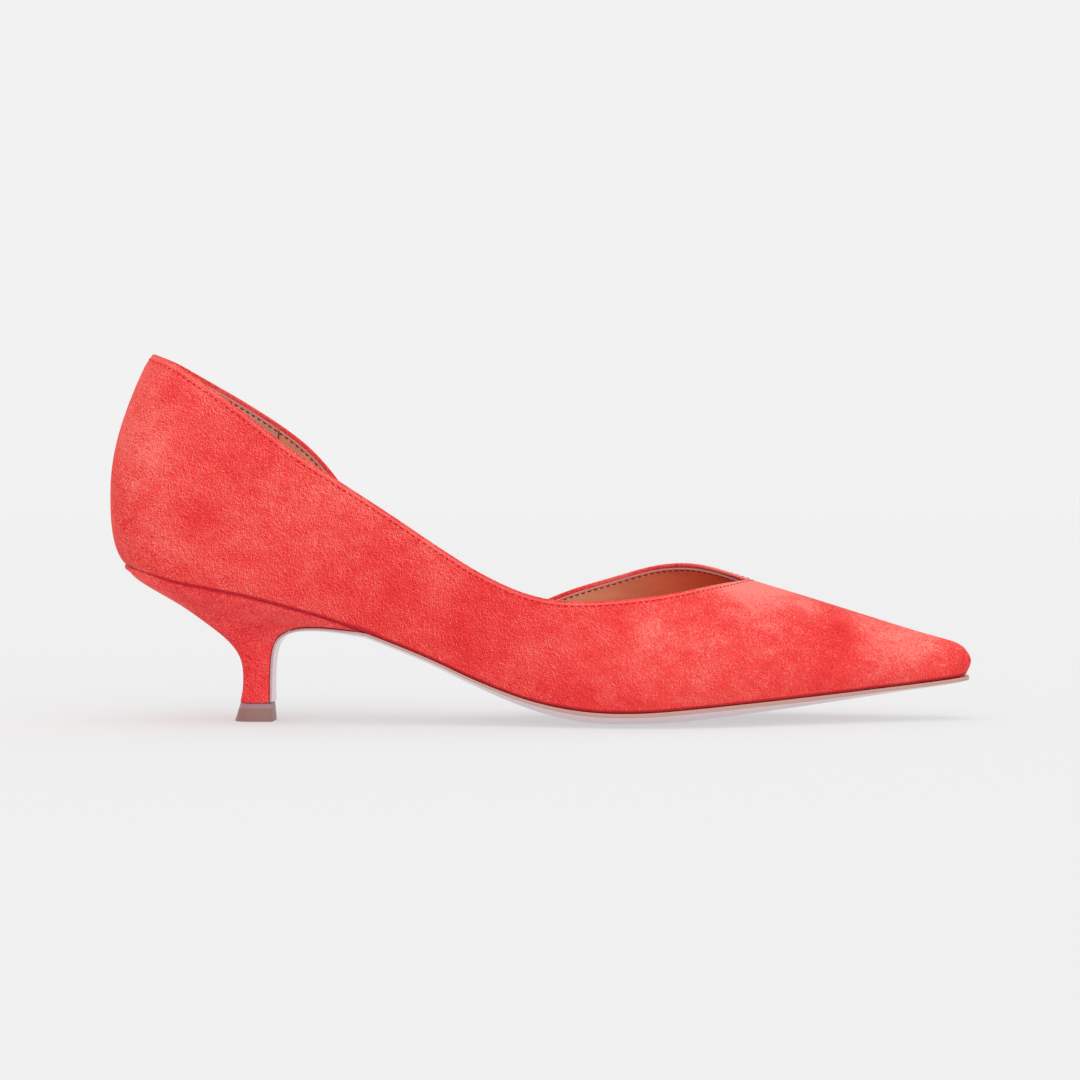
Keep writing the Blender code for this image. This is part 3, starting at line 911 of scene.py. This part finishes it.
def makeBead(name, path):
    # a soft bead along a path, thicker at the back and thin at both ends
    line = bpy.data.curves.new(name, "CURVE")
    line.dimensions = "3D"
    line.bevel_depth = heelSizes["bead"]
    line.bevel_resolution = 3
    line.use_fill_caps = True
    spline = line.splines.new("POLY")
    spline.points.add(len(path) - 1)
    for i, place in enumerate(path):
        spline.points[i].co = (*place, 1.0)
        fromEnd = min(i, len(path) - 1 - i) / heelSizes["thinSteps"]
        ends = min(1.0, heelSizes["thinEnd"] + (1 - heelSizes["thinEnd"]) * fromEnd)
        spline.points[i].radius = ends * beadWidth(place) / heelSizes["bead"]
    bead = bpy.data.objects.new(name, line)
    bpy.context.scene.collection.objects.link(bead)
    only(bead)
    bpy.ops.object.convert(target="MESH")
    bead.data.shade_smooth()
    return bead


# the turned edge of the heel's cover
print("pump: heel lip")
heelSeat = copySolid("heel", "heelSeat")
keepFaces(heelSeat, facesReached(heelSeat, [heelSizes["seatRay"]], heelSizes["seatTurn"]))
seatFrames = rimFrames(heelSeat)
bpy.data.objects.remove(heelSeat)
lipPath, creasePath = lipPaths(seatFrames)
heelLip = makeBead("heelLip", lipPath)
wear(heelLip, heelSuede)
settle(heelLip, "suede")

# painted shade: the dark crimson line in the groove where the upper meets the sole and the heel's lip, kept
# as each vertex's distance from it
crease = finely(creasePath)
markDistance(suedeUpper, "turn", featherLine + crease)
markDistance(heel, "turn", finely(placesOf(seatFrames)) + crease)
markDistance(heelLip, "turn", crease)


tipLook = {
    "edgeRound": 0.35 * mm,
    "body": tone(146, 106, 100),
    "band": tone(160, 124, 132),
    "line": 3.9 * mm,
    "lineSoft": 0.15 * mm,
    "scuff": 1.5 * mm,
    "scuffDepth": 0.02 * mm,
}


def makeTipPlastic():
    recipe = Recipe("tipPlastic")
    line = tipLook["line"]
    band = recipe.fade(recipe.along("Z"), line - tipLook["lineSoft"], line + tipLook["lineSoft"])
    colour = recipe.blend(band, tipLook["body"], tipLook["band"])
    scuff = recipe.cloud(tipLook["scuff"], 4.0, 0.6)
    normal = recipe.dent(scuff, tipLook["scuffDepth"])
    recipe.set(Base_Color=colour, Normal=normal, Roughness=0.3 + scuff * 0.3)
    return recipe.material


print("pump: heel tip")
tip = copySolid("top_piece", "heelTip")
roundEdges(tip, tipLook["edgeRound"], 3)
tip.data.shade_smooth()
wear(tip, makeTipPlastic())
settle(tip, "heel_tip", "top_piece")


studio = {
    "air": tone(242, 242, 242),
    "floor": tone(226, 226, 226),
    "floorNear": tone(220, 228, 228),  # cooler by the shoe, which throws its coral on the floor
    "nearWithin": 0.24,
    "floorSize": 120.0,
    "litShare": 0.5,
    "litWithin": 0.9,
    "fadedBy": 3.0,
    "lights": {  # place, power and spread in degrees
        "topLight": ((-0.2, -0.5, 1.6), 0.65, 60),
        "frontLight": ((0.1, -1.0, 0.1), 0.75, 60),
    },
    "target": (0.0849, 0.0, 0.0537),
    "azimuth": -1.0,
    "elevation": 2.0,
    "distance": 1.25,
    "lens": 140.0,
    "sensor": 36.0,
    "seenTo": 200.0,
}


def makeFloor():
    # lit near the shoe, and further off the plain tone of the air, so that no horizon shows
    bpy.ops.object.select_all(action="DESELECT")
    bpy.ops.mesh.primitive_plane_add(size=studio["floorSize"], location=(0, 0, 0))
    floor = bpy.context.object
    floor.name = "floor"
    recipe = Recipe("paleFloor")
    close = recipe.near(studio["target"], studio["nearWithin"])
    recipe.set(Base_Color=recipe.blend(close, studio["floor"], studio["floorNear"]))
    recipe.set(Roughness=0.9, Specular_IOR_Level=0.0)
    distance = recipe.add("ShaderNodeVectorMath", {"operation": "LENGTH"}, {0: recipe.place()}, "Value")
    far = 1 - (1 - recipe.fade(distance, studio["litWithin"], studio["fadedBy"])) * studio["litShare"]
    glow = recipe.add("ShaderNodeEmission", {}, {"Color": studio["air"]})
    both = recipe.add("ShaderNodeMixShader", {}, {0: far, 1: Wire(recipe, recipe.shader.outputs[0]), 2: glow})
    recipe.links.new(both.socket, recipe.nodes["Material Output"].inputs["Surface"])
    wear(floor, recipe.material)


def aim(thing, target):
    thing.rotation_mode = "QUATERNION"
    thing.rotation_quaternion = (Vector(target) - thing.location).to_track_quat("-Z", "Y")


def makeLight(name, place, power, spread):
    # a soft light from far off, so that the floor is lit the same all over
    lamp = bpy.data.lights.new(name, "SUN")
    lamp.energy = power
    lamp.angle = math.radians(spread)
    light = bpy.data.objects.new(name, lamp)
    light.location = place
    bpy.context.scene.collection.objects.link(light)
    aim(light, (0, 0, 0))


def makeCamera():
    lens = bpy.data.cameras.new("photoLens")
    lens.lens = studio["lens"]
    lens.sensor_width = studio["sensor"]
    lens.clip_end = studio["seenTo"]
    camera = bpy.data.objects.new("photoCamera", lens)
    turn = math.radians(studio["azimuth"])
    rise = math.radians(studio["elevation"])
    back = Vector((math.sin(turn) * math.cos(rise), -math.cos(turn) * math.cos(rise), math.sin(rise)))
    camera.location = Vector(studio["target"]) + back * studio["distance"]
    bpy.context.scene.collection.objects.link(camera)
    aim(camera, studio["target"])
    bpy.context.scene.camera = camera


print("pump: studio")
makeFloor()
for name, (place, power, spread) in studio["lights"].items():
    makeLight(name, place, power, spread)
makeCamera()
world = bpy.data.worlds.new("studioAir")
bpy.context.scene.world = world
world.use_nodes = True
world.node_tree.nodes["Background"].inputs["Color"].default_value = studio["air"]
world.node_tree.nodes["Background"].inputs["Strength"].default_value = 1.0
bpy.context.scene.view_settings.view_transform = "Standard"

print("pump: done")
